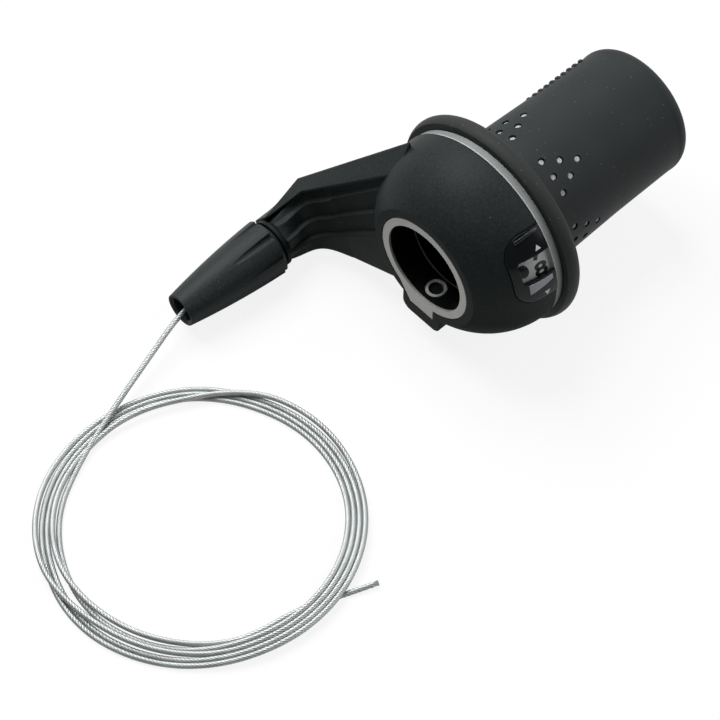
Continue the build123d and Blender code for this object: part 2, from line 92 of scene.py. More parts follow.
# The laps are a little flattened across this direction
FLAT_ANGLE = 47
FLATNESS = 0.04

# A lap on top of others lies this many diameters higher
LAP_RISE = 1.06
POINTS_PER_WIRE = 4

# Angle about the bar at which the gear window stands
WINDOW_ANGLE = 154
CLICK = 11
GEARS = 8
# The gear in use stands this far below the middle of the window
DIGIT_DROP = 5
# Size and added weight of the type, for figures of height 1
TYPE_SIZE = 1.38
TYPE_WEIGHT = 0.035
# Distance from the bar's axis at which prints and pads start, clear of the skin they are pressed onto
DIGIT_START = 0.0228
POINTER_START = 0.0244
PAD_START = 0.0254

# Angle about the bar, place along it and turn of each pointer
POINTERS = ((143.9, 0.0139, 0), (172.1, 0.0136, 180))
# Length and width, taper, tilt, angle about the bar and place along it of the pads on the window
LENS = ((0.0066, 0.0030), 0.42, 1, 165.4, 0.0120)
RIDGE = ((0.0068, 0.0008), 0.8, 2, 135.0, 0.0123)
PAD_RISE = 0.00022
# Round tongue at the inner end of the gear slot
TONGUE_RADIUS = 0.0013
TONGUE_STRETCH = 1.15
TONGUE_THICKNESS = 0.0008
TONGUE_ROUND = 0.0002
TONGUE_SLOPE = -21
TONGUE_ANGLE = 153
TONGUE_SEAT = 0.0222
TONGUE_X = 0.0096

# Pits of the rubber, in groups of three rows round the grip
PIT_GROUPS = 6
PIT_ROWS = 3
PIT_X = 0.0302
PIT_STEP = 0.00375
PIT_PITCH = 14.5
PIT_ANGLE = 121

# Bumps of the rubber: angle of the first row, angle between rows, and seat on the rubber
BUMP_ANGLE = 14
BUMP_TURN = 6.4
BUMP_SEAT = 0.0163
# Height of a bump and depth of its foot, as shares of its radius
BUMP_HEIGHT = 0.6
BUMP_FOOT = 0.3


class StageSettings(bpy.types.PropertyGroup):
    """Floor, light and camera"""

    floor_size: bpy.props.FloatProperty(
        name="Floor size", description="Side of the floor", default=6.0, unit="LENGTH")
    floor_glow: bpy.props.FloatProperty(
        name="Floor glow", description="Share of the floor's white that shadows don't reach",
        default=0.86,
        subtype="FACTOR")
    bounce_colour: bpy.props.FloatVectorProperty(
        name="Bounce", description="Colour that the floor throws back",
        default=(0.12, 0.12, 0.12), subtype="COLOR")
    lamp_power: bpy.props.FloatProperty(
        name="Lamp", description="Power of the overhead soft box", default=6.1, unit="POWER")
    lamp_size: bpy.props.FloatProperty(
        name="Soft box", description="Side of each soft box", default=0.55, unit="LENGTH")
    lamp_place: bpy.props.FloatVectorProperty(
        name="Lamp place", description="Middle of the soft box",
        default=(0.0, 0.38, 0.66), subtype="TRANSLATION")
    fill_power: bpy.props.FloatProperty(
        name="Fill", description="Power of the weaker soft box in front", default=1.6, unit="POWER")
    fill_place: bpy.props.FloatVectorProperty(
        name="Fill place", description="Middle of the weaker soft box", default=(0.40, -0.45, 0.42),
        subtype="TRANSLATION")
    sky: bpy.props.FloatProperty(
        name="Sky", description="Strength of the light from all round", default=0.15, subtype="FACTOR")
    room: bpy.props.FloatProperty(
        name="Room", description="Brightness of the room on the camera's side, as gloss shows it",
        default=0.12,
        subtype="FACTOR")
    camera_place: bpy.props.FloatVectorProperty(
        name="Camera place", description="Where the camera stands",
        default=(-0.18886, -0.18322, 0.36093), subtype="TRANSLATION")
    camera_back: bpy.props.FloatVectorProperty(
        name="Camera back", description="Direction from the view's middle to the camera",
        default=(-0.37522, -0.40478, 0.83389), subtype="DIRECTION")
    camera_angle: bpy.props.FloatProperty(
        name="View angle", description="Angle that the picture covers",
        default=radians(20), subtype="ANGLE")


class CableSettings(bpy.types.PropertyGroup):
    """Stranded gear cable"""

    diameter: bpy.props.FloatProperty(
        name="Diameter", description="Outside diameter of the strand",
        default=0.0013, unit="LENGTH", precision=5)
    wires: bpy.props.IntProperty(
        name="Wires", description="Wires that show round the strand", default=9, min=3)
    lay: bpy.props.FloatProperty(
        name="Lay", description="Length in which a wire goes once round",
        default=0.0080, unit="LENGTH", precision=4)
    groove: bpy.props.FloatProperty(
        name="Groove", description="Depth between the wires, as a share of the radius",
        default=0.20, subtype="FACTOR")
    coil_middle: bpy.props.FloatVectorProperty(
        name="Coil middle", description="Middle of the coil on the floor",
        default=(-0.0685, -0.0029), size=2, subtype="XYZ")
    coil_inside: bpy.props.FloatProperty(
        name="Inside", description="Radius of the innermost lap",
        default=0.0308, unit="LENGTH", precision=4)
    coil_pitch: bpy.props.FloatProperty(
        name="Pitch", description="Distance between neighbouring laps",
        default=0.00126, unit="LENGTH", precision=5)


class FinishSettings(bpy.types.PropertyGroup):
    """Colours of the finishes"""

    moulded: bpy.props.FloatVectorProperty(
        name="Moulding", description="Matte black of the housing",
        default=(0.0165, 0.0205, 0.0205), subtype="COLOR")
    knob: bpy.props.FloatVectorProperty(
        name="Barrel", description="Semi-matte black of the barrel",
        default=(0.0175, 0.0225, 0.0235), subtype="COLOR")
    rubber: bpy.props.FloatVectorProperty(
        name="Rubber", description="Charcoal of the grip",
        default=(0.0195, 0.023, 0.024), subtype="COLOR")
    rubber_worn: bpy.props.FloatVectorProperty(
        name="Rubber at the flange", description="Browner charcoal beside the flange",
        default=(0.034, 0.034, 0.031), subtype="COLOR")
    dust: bpy.props.FloatVectorProperty(
        name="Dust", description="Specks of dust", default=(0.16, 0.16, 0.155), subtype="COLOR")
    gloss: bpy.props.FloatVectorProperty(
        name="Gloss black", description="Polished black of the window",
        default=(0.008, 0.010, 0.011), subtype="COLOR")
    cast: bpy.props.FloatVectorProperty(
        name="Cast ring", description="Satin grey of the clamp ring",
        default=(0.48, 0.485, 0.455), subtype="COLOR")
    # Also used as the painted shadow past the inner end of the number strip
    bore: bpy.props.FloatVectorProperty(
        name="Bore", description="Black of the clamp's bore",
        default=(0.003, 0.0035, 0.0035), subtype="COLOR")
    grey: bpy.props.FloatVectorProperty(
        name="Number grey", description="Grey of the number ring's band", default=(0.29, 0.315, 0.31),
        subtype="COLOR")
    strip: bpy.props.FloatVectorProperty(
        name="Strip grey", description="Grey under the gear numbers",
        default=(0.66, 0.69, 0.68), subtype="COLOR")
    core: bpy.props.FloatVectorProperty(
        name="Core grey", description="Light grey of the grip core",
        default=(0.50, 0.54, 0.57), subtype="COLOR")
    lens: bpy.props.FloatVectorProperty(
        name="Lens", description="Milky grey of the window's lens",
        default=(0.33, 0.35, 0.39), subtype="COLOR")
    steel: bpy.props.FloatVectorProperty(
        name="Zinc", description="Bright zinc of screw and springs",
        default=(0.62, 0.63, 0.64), subtype="COLOR")
    blued: bpy.props.FloatVectorProperty(
        name="Blued steel", description="Dark oxide of the snap ring",
        default=(0.055, 0.057, 0.062), subtype="COLOR")
    strand: bpy.props.FloatVectorProperty(
        name="Strand", description="Galvanised wire", default=(0.45, 0.475, 0.47), subtype="COLOR")
    liner: bpy.props.FloatVectorProperty(
        name="Liner", description="Slippery white plastic", default=(0.70, 0.70, 0.67), subtype="COLOR")
    brass: bpy.props.FloatVectorProperty(
        name="Brass", description="Machined brass", default=(0.62, 0.45, 0.18), subtype="COLOR")
    ink: bpy.props.FloatVectorProperty(
        name="Ink", description="Dark ink of the gear numbers",
        default=(0.010, 0.011, 0.012), subtype="COLOR")
    paint: bpy.props.FloatVectorProperty(
        name="Paint", description="White paint of the pointers",
        default=(0.80, 0.82, 0.82), subtype="COLOR")


class PrintSettings(bpy.types.PropertyGroup):
    """Gear numbers and pointers"""

    digit_height: bpy.props.FloatProperty(
        name="Digits", description="Height of a gear number", default=0.0035, unit="LENGTH", precision=4)
    digit_width: bpy.props.FloatProperty(
        name="Width", description="How much wider a number is than plain type", default=1.4)
    digit_x: bpy.props.FloatProperty(
        name="Digit place", description="Place of the numbers along the bar",
        default=0.0141, unit="LENGTH", precision=4)
    film: bpy.props.FloatProperty(
        name="Ink thickness", description="Thickness of the printed film",
        default=0.00004, unit="LENGTH", precision=5)
    pointer: bpy.props.FloatProperty(
        name="Pointer", description="Radius of a pointer triangle",
        default=0.00085, unit="LENGTH", precision=5)


class GripSettings(bpy.types.PropertyGroup):
    """Studs in the pits and bumps on the rubber"""

    stud_radius: bpy.props.FloatProperty(
        name="Stud", description="Radius of a stud of the core in its pit",
        default=0.00074, unit="LENGTH",
        precision=5)
    stud_height: bpy.props.FloatProperty(
        name="Stud height", description="Height of a stud", default=0.0011, unit="LENGTH", precision=5)
    stud_top: bpy.props.FloatProperty(
        name="Stud top", description="Distance of a stud's top from the bar's axis",
        default=0.0163, unit="LENGTH",
        precision=4)
    bump_radius: bpy.props.FloatProperty(
        name="Bump", description="Radius of a bump", default=0.00056, unit="LENGTH", precision=5)
    bump_pitch: bpy.props.FloatProperty(
        name="Pitch", description="Distance between bumps along the bar",
        default=0.00185, unit="LENGTH", precision=5)
    bump_rows: bpy.props.IntProperty(
        name="Rows", description="Rows of bumps round the grip", default=5)
    bump_count: bpy.props.IntProperty(
        name="Bumps", description="Bumps in a row", default=9)
    bump_start: bpy.props.FloatProperty(
        name="Start", description="Place of the first bump along the bar",
        default=0.0465, unit="LENGTH", precision=4)


class Wire:
    """Output socket that takes part in sums as a number would."""

    def __init__(self, nodes, socket):
        self.nodes = nodes
        self.socket = socket

    def sum(self, operation, first, second):
        return self.nodes.add("ShaderNodeMath", {"operation": operation}, {0: first, 1: second})

    def __add__(self, other):
        return self.sum("ADD", self, other)

    def __radd__(self, other):
        return self.sum("ADD", other, self)

    def __sub__(self, other):
        return self.sum("SUBTRACT", self, other)

    def __rsub__(self, other):
        return self.sum("SUBTRACT", other, self)

    def __mul__(self, other):
        return self.sum("MULTIPLY", self, other)

    def __rmul__(self, other):
        return self.sum("MULTIPLY", other, self)

    def __pow__(self, other):
        return self.sum("POWER", self, other)

    def __gt__(self, other):
        return self.sum("GREATER_THAN", self, other)


class Nodes:
    """Node tree that grows node by node."""

    def __init__(self, tree):
        self.tree = tree
        self.tree.nodes.clear()

    def add(self, kind, settings=None, inputs=None, output=0):
        """Adds a node with its settings and the values or links of its sockets."""
        node = self.tree.nodes.new(kind)
        for name, value in (settings or {}).items():
            setattr(node, name, value)
        for name, value in (inputs or {}).items():
            if isinstance(value, Wire):
                self.tree.links.new(value.socket, node.inputs[name])
            else:
                node.inputs[name].default_value = value
        return Wire(self, node.outputs[output]) if node.outputs else None

    def edge(self, value, start, stop):
        """Mask that goes from 0 at start to 1 at stop."""
        sockets = {"Value": value, "From Min": start, "From Max": stop}
        return self.add("ShaderNodeMapRange", {"interpolation_type": "SMOOTHSTEP"}, sockets)

    def rays(self, *kinds):
        """1 where a ray is of one of those kinds."""
        masks = [self.add("ShaderNodeLightPath", output=f"Is {kind} Ray") for kind in kinds]
        return sum(masks[1:], masks[0])


class Finish(Nodes):
    """Material on the object's own coordinates."""

    def __init__(self, name):
        self.material = bpy.data.materials.new(name)
        self.material.use_nodes = True
        super().__init__(self.material.node_tree)
        self.place = self.add("ShaderNodeTexCoord", output="Object")

    def grain(self, size, detail):
        """Noise whose blotches have that size in metres."""
        sockets = {"Vector": self.place, "Scale": 1 / size, "Detail": detail}
        return self.add("ShaderNodeTexNoise", {}, sockets, "Fac")

    def specks(self, size, share):
        """Small scattered spots, as a mask, over about that share of the cells."""
        cells = {"Vector": self.place, "Scale": 1 / size}
        near = self.add("ShaderNodeTexVoronoi", {}, cells, "Distance")
        colour = self.add("ShaderNodeTexVoronoi", {}, cells, "Color")
        lot = self.add("ShaderNodeSeparateColor", {}, {0: colour})
        return self.edge(near, 0.22, 0.12) * (lot > 1 - share)

    def along(self, axis):
        """One coordinate of the place on the piece."""
        return self.add("ShaderNodeSeparateXYZ", {}, {0: self.place}, axis)

    def blend(self, mask, first, second):
        """Colour between two others."""
        sockets = {0: mask, 6: opaque(first), 7: opaque(second)}
        return self.add("ShaderNodeMix", {"data_type": "RGBA"}, sockets, 2)

    def mottle(self, mask, colour, dark, light):
        """Colour between a darker and a lighter shade of one."""
        return self.blend(mask, shade(colour, dark), shade(colour, light))

    def from_bar(self):
        """Distance from the bar's axis."""
        return (self.along("Y") ** 2 + self.along("Z") ** 2) ** 0.5

    def upwards(self):
        """How far the skin faces up, from -1 to 1."""
        facing = self.add("ShaderNodeNewGeometry", output="Normal")
        return self.add("ShaderNodeSeparateXYZ", {}, {0: facing}, "Z")

    def bump(self, height, strength, distance, round_edges=0.0):
        """Normal of a surface that is rough by that height map, with its edges rounded off."""
        sockets = {"Strength": strength, "Distance": distance, "Height": height}
        if round_edges:
            sockets["Normal"] = self.add("ShaderNodeBevel", {"samples": 6}, {"Radius": round_edges})
        return self.add("ShaderNodeBump", {}, sockets, "Normal")

    def coat(self, **sockets):
        """Closes the material with one surface shader."""
        named = {name.replace("_", " "): value for name, value in sockets.items()}
        shader = self.add("ShaderNodeBsdfPrincipled", {}, named)
        self.add("ShaderNodeOutputMaterial", {}, {"Surface": shader})
        return self.material


def opaque(colour):
    """Colour with its alpha, or a link as it is."""
    return colour if isinstance(colour, Wire) else (*colour, 1)


def shade(colour, factor):
    """Same colour, lighter or darker."""
    return tuple(min(1.0, factor * c) for c in colour)


def moulded_plastic(name, colour, dust, roughness, level, soft):
    """Matte moulding with a spark texture, softened edges and dust, most of it on top."""
    finish = Finish(name)
    cloud = finish.grain(0.006, 3.0)
    fine = finish.grain(0.0006, 3.0)
    specks = finish.specks(0.0011, 0.05)
    upwards = finish.upwards()
    base = finish.mottle(cloud, colour, 0.75, 1.25)
    base = finish.blend(0.45 * finish.edge(fine, 0.35, 0.7), base, shade(colour, 1.9))
    base = finish.blend(0.04 * finish.edge(upwards, 0.5, 0.9), base, dust)
    base = finish.blend(specks * 0.3, base, dust)
    dull = 0.35 * finish.edge(upwards, 0.3, -0.3)
    return finish.coat(
        Base_Color=base,
        Roughness=roughness + dull + 0.12 * (fine - 0.5) + 0.1 * (cloud - 0.5),
        Specular_IOR_Level=level,
        Normal=finish.bump(fine, 0.7, 0.00011, soft),
    )


def grip_rubber(colours):
    """Charcoal rubber, browner at the flange, with dust in its skin."""
    finish = Finish("grip_rubber")
    cloud = finish.grain(0.009, 3.0)
    fine = finish.grain(0.00035, 3.0)
    outwards = finish.edge(finish.along("X"), 0.021, 0.034)
    tone = finish.blend(outwards, colours.rubber_worn, colours.rubber)
    base = finish.blend(cloud, tone, shade(colours.rubber, 1.35))
    specks = finish.specks(0.0009, 0.12)
    base = finish.blend(specks * 0.45, base, colours.dust)
    return finish.coat(
        Base_Color=base,
        Roughness=0.62 + 0.15 * (fine - 0.5),
        Specular_IOR_Level=0.2,
        Normal=finish.bump(fine, 0.3, 0.00007),
    )


def gloss_black(name, colours, level):
    """Polished moulding with faint swirl marks."""
    finish = Finish(name)
    cloud = finish.grain(0.004, 2.0)
    fine = finish.grain(0.0009, 2.0)
    return finish.coat(
        Base_Color=finish.mottle(cloud, colours.gloss, 0.7, 1.4),
        Roughness=0.14 + 0.08 * cloud,
        Specular_IOR_Level=level,
        Normal=finish.bump(fine, 0.03, 0.00005, 0.0003),
    )


def cast_metal(name, colour, metallic, roughness):
    """Satin casting with fine pores."""
    finish = Finish(name)
    cloud = finish.grain(0.003, 3.0)
    fine = finish.grain(0.00028, 2.0)
    pores = finish.specks(0.0009, 0.12)
    base = finish.mottle(cloud, colour, 0.86, 1.12)
    base = finish.blend(pores * 0.5, base, shade(colour, 0.45))
    return finish.coat(
        Base_Color=base,
        Metallic=metallic,
        Roughness=roughness + 0.2 * (fine - 0.5),
        Normal=finish.bump(fine, 0.2, 0.00005),
    )


def clamp_casting(colours):
    """Casting that is bare on its front face and coated black round the bar."""
    finish = Finish("cast_ring")
    cloud = finish.grain(0.003, 3.0)
    fine = finish.grain(0.00028, 2.0)
    pores = finish.specks(0.0009, 0.1)
    front = finish.edge(finish.along("X"), 0.0007, 0.0004)
    bare = finish.mottle(cloud, colours.cast, 0.86, 1.12)
    bare = finish.blend(pores * 0.4, bare, shade(colours.cast, 0.5))
    black = finish.mottle(cloud, colours.bore, 0.7, 1.4)
    return finish.coat(
        Base_Color=finish.blend(front, black, bare),
        Metallic=0.3 * front,
        Roughness=0.3 + 0.15 * front + 0.15 * (fine - 0.5),
        Normal=finish.bump(fine, 0.2, 0.00005, 0.00025),
    )


def sleeve_plastic(colours):
    """Black tube round the bar, with a thin painted highlight line along its front edge."""
    finish = Finish("sleeve_black")
    cloud = finish.grain(0.006, 3.0)
    fine = finish.grain(0.0006, 2.0)
    # Painted highlight: a thin light line at the front edge stands in for the light that the rim catches
    painted_highlight_line = finish.edge(finish.along("X"), 0.0077, 0.0075)
    black = finish.mottle(cloud, colours.bore, 0.7, 1.4)
    return finish.coat(
        Base_Color=finish.blend(painted_highlight_line * 0.6, black, colours.cast),
        Roughness=0.24 + 0.1 * (fine - 0.5),
        Specular_IOR_Level=0.5,
        Normal=finish.bump(fine, 0.1, 0.00004),
    )


def cup_screw(colours):
    """Zinc plated screw, with painted shade in the cup of its point."""
    finish = Finish("screw_steel")
    cloud = finish.grain(0.0015, 2.0)
    fine = finish.grain(0.0003, 2.0)
    reach = finish.from_bar()
    # Painted shade: the cup of the point is painted nearly black, where the cup and the bore shade it
    painted_cup_shade = finish.edge(reach, 0.0113, 0.0116) * finish.edge(reach, 0.0135, 0.0130)
    zinc = finish.mottle(cloud, colours.steel, 1.1, 1.5)
    return finish.coat(
        Base_Color=finish.blend(painted_cup_shade, zinc, shade(colours.steel, 0.04)),
        Metallic=0.2,
        Roughness=0.3 + 0.2 * (fine - 0.5),
        Normal=finish.bump(fine, 0.08, 0.00003),
    )


def milky_lens(colours):
    """Polished lens with a cloudy tone."""
    finish = Finish("milky_lens")
    cloud = finish.grain(0.003, 3.0)
    fine = finish.grain(0.0007, 2.0)
    return finish.coat(
        Base_Color=finish.mottle(cloud, colours.lens, 0.7, 1.25),
        Roughness=0.12 + 0.1 * cloud,
        Normal=finish.bump(fine, 0.03, 0.00004),
    )


def number_plastic(colours):
    """Grey ring, a little lighter under the numbers, with painted shadow past the inner end of their
    strip.
    """
    finish = Finish("number_grey")
    cloud = finish.grain(0.004, 3.0)
    fine = finish.grain(0.0005, 2.0)
    x = finish.along("X")
    tone = finish.blend(finish.edge(x, 0.0168, 0.0170), colours.strip, colours.grey)
    # Painted shadow: past the inner end of the strip the ring is painted the bore's black, where the
    # cutout at the slot's end lies in shade
    tone = finish.blend(finish.edge(x, 0.0092, 0.0090), tone, colours.bore)
    soiled = finish.blend(0.25 * cloud, tone, colours.bore)
    return finish.coat(
        Base_Color=soiled,
        Roughness=0.5 + 0.14 * (fine - 0.5),
        Normal=finish.bump(fine, 0.08, 0.00004),
    )


def bright_metal(name, colour, roughness):
    """Machined or drawn metal with fine turning marks along the piece."""
    finish = Finish(name)
    stretch = finish.add("ShaderNodeMapping", {}, {"Vector": finish.place, "Scale": (9000, 900, 900)})
    marks = finish.add("ShaderNodeTexNoise", {}, {"Vector": stretch, "Scale": 1.0, "Detail": 2.0}, "Fac")
    cloud = finish.grain(0.002, 2.0)
    return finish.coat(
        Base_Color=finish.mottle(cloud, colour, 0.82, 1.1),
        Metallic=1.0,
        Roughness=roughness + 0.25 * (marks - 0.5),
        Normal=finish.bump(marks, 0.08, 0.00003),
    )


def smooth_plastic(name, colour, roughness):
    """Plain moulding with slight cloudiness and scuffs."""
    finish = Finish(name)
    cloud = finish.grain(0.005, 3.0)
    fine = finish.grain(0.0005, 2.0)
    return finish.coat(
        Base_Color=finish.mottle(cloud, colour, 0.88, 1.08),
        Roughness=roughness + 0.14 * (fine - 0.5),
        Normal=finish.bump(fine, 0.08, 0.00004),
    )


def galvanised_strand(colours):
    """Zinc on drawn wire, with dull patches."""
    finish = Finish("cable")
    patches = finish.grain(0.004, 3.0)
    fine = finish.grain(0.0003, 2.0)
    return finish.coat(
        Base_Color=finish.mottle(patches, colours.strand, 0.72, 1.15),
        Metallic=0.65,
        Roughness=0.36 + 0.3 * (fine - 0.5) + 0.15 * (patches - 0.5),
        Normal=finish.bump(fine, 0.1, 0.00003),
    )


def dress(material, *names):
    """Gives CAD nodes their finish."""
    for name in names:
        slots = nodes[name].data.materials
        slots.clear()
        slots.append(material)


def fresh(name):
    """Names the piece that an operator has just made."""
    piece = bpy.context.object
    piece.name = name
    piece.data.name = name
    return piece


def deselect():
    """Clears the selection."""
    bpy.ops.object.select_all(action="DESELECT")


def round_bar(angle, radius, x):
    """Place and turn of a flat piece that faces away from the bar axis."""
    at = radians(angle)
    return (x, radius * cos(at), radius * sin(at)), (at - pi / 2, 0, 0)


def lay_on(piece, node, film):
    """Presses a flat print onto a node's skin and gives it the thickness of ink."""
    wrap = piece.modifiers.new("wrap", "SHRINKWRAP")
    wrap.target = nodes[node]
    wrap.wrap_method = "NEAREST_SURFACEPOINT"
    wrap.wrap_mode = "ABOVE_SURFACE"
    wrap.offset = film
    bpy.ops.object.modifier_apply(modifier=wrap.name)
    skin = piece.modifiers.new("skin", "SOLIDIFY")
    skin.thickness = film
    skin.offset = -1
    bpy.ops.object.modifier_apply(modifier=skin.name)


def seat(piece, place, turn):
    """Moves and turns the active piece, in its mesh."""
    piece.location = place
    piece.rotation_euler = turn
    bpy.ops.object.transform_apply(location=True, rotation=True)


def copy_to(piece, place, turn):
    """Copy of a modelled piece, with a mesh of its own, at its place on the shifter."""
    deselect()
    piece.select_set(True)
    bpy.context.view_layer.objects.active = piece
    bpy.ops.object.duplicate()
    copy = bpy.context.object
    seat(copy, place, turn)
    return copy


def refine(cuts):
    """Divides the faces of the active piece."""
    bpy.ops.object.mode_set(mode="EDIT")
    bpy.ops.mesh.select_all(action="SELECT")
    bpy.ops.mesh.subdivide(number_cuts=cuts)
    bpy.ops.mesh.normals_make_consistent(inside=False)
    bpy.ops.object.mode_set(mode="OBJECT")


def pick(piece, chosen):
    """Selects the corners of a piece for which chosen is true, and opens it in edit mode."""
    bpy.ops.object.mode_set(mode="EDIT")
    bpy.ops.mesh.select_all(action="DESELECT")
    bpy.ops.object.mode_set(mode="OBJECT")
    for corner in piece.data.vertices:
        corner.select = chosen(corner.co)
    bpy.ops.object.mode_set(mode="EDIT")


def round_off(piece, width):
    """Rounds the edges of a finished piece."""
    rim = piece.modifiers.new("rim", "BEVEL")
    rim.width = width
    rim.segments = 3
    rim.limit_method = "ANGLE"
    rim.angle_limit = radians(50)
    bpy.ops.object.modifier_apply(modifier=rim.name)
    bpy.ops.object.shade_smooth_by_angle(angle=radians(40))


def raised_pad(name, size, taper, tilt, angle, x):
    """Pad that narrows towards the grip, pressed onto the window with its edges rounded."""
    deselect()
    bpy.ops.mesh.primitive_plane_add(size=1)
    piece = fresh(name)
    bpy.ops.object.mode_set(mode="EDIT")
    bpy.ops.transform.resize(value=(*size, 1))
    pick(piece, lambda corner: corner.x > 0)
    bpy.ops.transform.resize(value=(1, taper, 1), center_override=(size[0] / 2, size[1] / 2, 0))
    bpy.ops.object.mode_set(mode="OBJECT")
    seat(piece, (0, 0, 0), (0, 0, radians(tilt)))
    seat(piece, *round_bar(angle, PAD_START, x))
    refine(7)
    lay_on(piece, "window_frame", PAD_RISE)
    round_off(piece, 0.6 * PAD_RISE)
    return piece


def join(pieces, name):
    """Makes one piece of several."""
    deselect()
    for piece in pieces:
        piece.select_set(True)
    bpy.context.view_layer.objects.active = pieces[0]
    bpy.ops.object.join()
    return fresh(name)


class SHIFTER_OT_stage(bpy.types.Operator):
    """Adds the floor, the soft lights and the camera"""

    bl_idname = "shifter.stage"
    bl_label = "Stage"

    def execute(self, context):
        stage = context.scene.shifter_stage
        deselect()
        bpy.ops.mesh.primitive_plane_add(size=stage.floor_size, location=(0, 0, floor_z))
        floor = fresh("floor")
        bpy.ops.object.transform_apply(location=True)
        finish = Finish("floor")
        seen = finish.rays("Camera", "Glossy", "Transmission")
        cloud = finish.grain(0.4, 1.0)
        rest = (1 - stage.floor_glow,) * 3
        shown = finish.blend(cloud, rest, shade(rest, 1.05))
        floor.data.materials.append(finish.coat(
            Base_Color=finish.blend(seen, stage.bounce_colour, shown),
            Roughness=1.0,
            Specular_IOR_Level=0.0,
            Emission_Color=finish.blend(seen, (0, 0, 0), (1, 1, 1)),
            Emission_Strength=stage.floor_glow,
        ))

        for name, place, power in (
            ("soft_box", stage.lamp_place, stage.lamp_power),
            ("fill_box", stage.fill_place, stage.fill_power),
        ):
            bpy.ops.object.light_add(type="AREA", location=place)
            lamp = context.object
            lamp.name = name
            lamp.data.energy = power
            lamp.data.size = stage.lamp_size
            lamp.rotation_euler = Vector(place).to_track_quat("Z", "Y").to_euler()

        world = bpy.data.worlds.new("studio")
        context.scene.world = world
        world.use_nodes = True
        studio = Nodes(world.node_tree)
        beyond = -Vector((stage.camera_back[0], stage.camera_back[1], 0)).normalized()
        heading = studio.add("ShaderNodeTexCoord", output="Generated")
        facing = studio.add(
            "ShaderNodeVectorMath", {"operation": "DOT_PRODUCT"}, {0: heading, 1: beyond}, "Value")
        wall = studio.edge(facing, -0.2, 0.7)
        camera_rays = studio.rays("Camera")
        mirrored = studio.rays("Glossy", "Transmission")
        plain = stage.sky * (1 - camera_rays - mirrored)
        strength = plain + camera_rays + mirrored * (stage.room + (1 - stage.room) * wall)
        light = studio.add("ShaderNodeBackground", {}, {"Color": (1, 1, 1, 1), "Strength": strength})
        studio.add("ShaderNodeOutputWorld", {}, {"Surface": light})

        bpy.ops.object.camera_add(location=stage.camera_place)
        camera = context.object
        camera.rotation_euler = Vector(stage.camera_back).to_track_quat("Z", "Y").to_euler()
        camera.data.angle = stage.camera_angle
        camera.data.clip_start = 0.01
        context.scene.camera = camera
        context.scene.view_settings.view_transform = "Standard"
        return {"FINISHED"}


def smooth_step(value, start, stop):
    """From 0 at start to 1 at stop, level at both."""
    share = min(1.0, max(0.0, (value - start) / (stop - start)))
    return share * share * (3 - 2 * share)


def lap_place(angle):
    """Place of the cable in the coil's band, in laps from the inside."""
    place = 0.0
    now = 0
    for lap, low in enumerate(low_places):
        left = [360 * lap + a for a in LEFT_CROSSING]
        place += (low - now) * smooth_step(angle, *left)
        now = low
        if lap < len(high_places):
            right = [360 * lap + a for a in RIGHT_CROSSING]
            place += (high_places[lap] - now) * smooth_step(angle, *right)
            now = high_places[lap]
    return place


def lap_lift(angle):
    """1 where the cable lies on other laps, 0 on the floor."""
    lift = 0.0
    for middle, half in humps:
        away = abs(angle - middle)
        lift = max(lift, 1 - smooth_step(away, half, half + HUMP_SIDE))
    return lift


def coil_points(cable):
    """Points of the coil's turns, from the tail's end to where the cut end leaves."""
    points = []
    flat = radians(FLAT_ANGLE)
    step = 360 / POINTS_PER_TURN
    count = int((COIL_STOP - COIL_START) / step)
    for k in range(count + 1):
        angle = COIL_START + k * step
        radius = cable.coil_inside + cable.coil_pitch * lap_place(angle)
        height = floor_z + cable.diameter * (0.5 + LAP_RISE * lap_lift(angle))
        turn = radians(angle)
        inwards = FLATNESS * radius * cos(turn - flat)
        points.append((
            cable.coil_middle[0] + radius * cos(turn) - inwards * cos(flat),
            cable.coil_middle[1] + radius * sin(turn) - inwards * sin(flat),
            height,
        ))
    return points


def strand_rings(path, cable):
    """Rings of points round the path, with a groove between each wire and the next."""
    around = POINTS_PER_WIRE * cable.wires
    radius = cable.diameter / 2
    side = Vector((0, 0, 1))
    travelled = 0.0
    rings = []
    for k, point in enumerate(path):
        ahead = path[min(k + 1, len(path) - 1)] - path[max(k - 1, 0)]
        ahead.normalize()
        side = (side - side.dot(ahead) * ahead).normalized()
        other = ahead.cross(side)
        if k:
            travelled += (point - path[k - 1]).length
        turn = 2 * pi * travelled / cable.lay
        ring = []
        for j in range(around):
            spot = 2 * pi * j / around
            reach = radius * (1 - cable.groove * (1 - abs(sin(cable.wires * spot / 2))))
            ring.append(point + reach * (cos(spot + turn) * side + sin(spot + turn) * other))
        rings.append(ring)
    return rings


class SHIFTER_OT_cable(bpy.types.Operator):
    """Lays the stranded cable from the barrel into its coil"""

    bl_idname = "shifter.cable"
    bl_label = "Cable"

    def execute(self, context):
        cable = context.scene.shifter_cable
        points = tail_points + coil_points(cable) + end_points
        line = bpy.data.curves.new("cable_line", "CURVE")
        line.dimensions = "3D"
        line.resolution_u = 12
        spline = line.splines.new("NURBS")
        spline.points.add(len(points) - 1)
        for place, point in zip(spline.points, points):
            place.co = (*point, 1)
        spline.order_u = 3
        spline.use_endpoint_u = True
        guide = bpy.data.objects.new("cable_line", line)
        bare = bpy.data.meshes.new_from_object(guide)
        path = [v.co.copy() for v in bare.vertices]
        bpy.data.objects.remove(guide)
        bpy.data.meshes.remove(bare)

        rings = strand_rings(path, cable)
        around = len(rings[0])
        corners = [point for ring in rings for point in ring]
        faces = []
        for k in range(len(rings) - 1):
            for j in range(around):
                here = k * around + j
                beside = k * around + (j + 1) % around
                faces.append((here, beside, beside + around, here + around))
        faces.append(tuple(reversed(range(around))))
        faces.append(tuple(range(len(corners) - around, len(corners))))
        mesh = bpy.data.meshes.new("cable")
        mesh.from_pydata(corners, [], faces)
        mesh.shade_smooth()
        strand = bpy.data.objects.new("cable", mesh)
        context.scene.collection.objects.link(strand)
        mesh.materials.append(galvanised_strand(context.scene.shifter_finish))
        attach(strand, "bracket")
        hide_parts("cable_tail", "cable_coil", "cable_end")
        return {"FINISHED"}


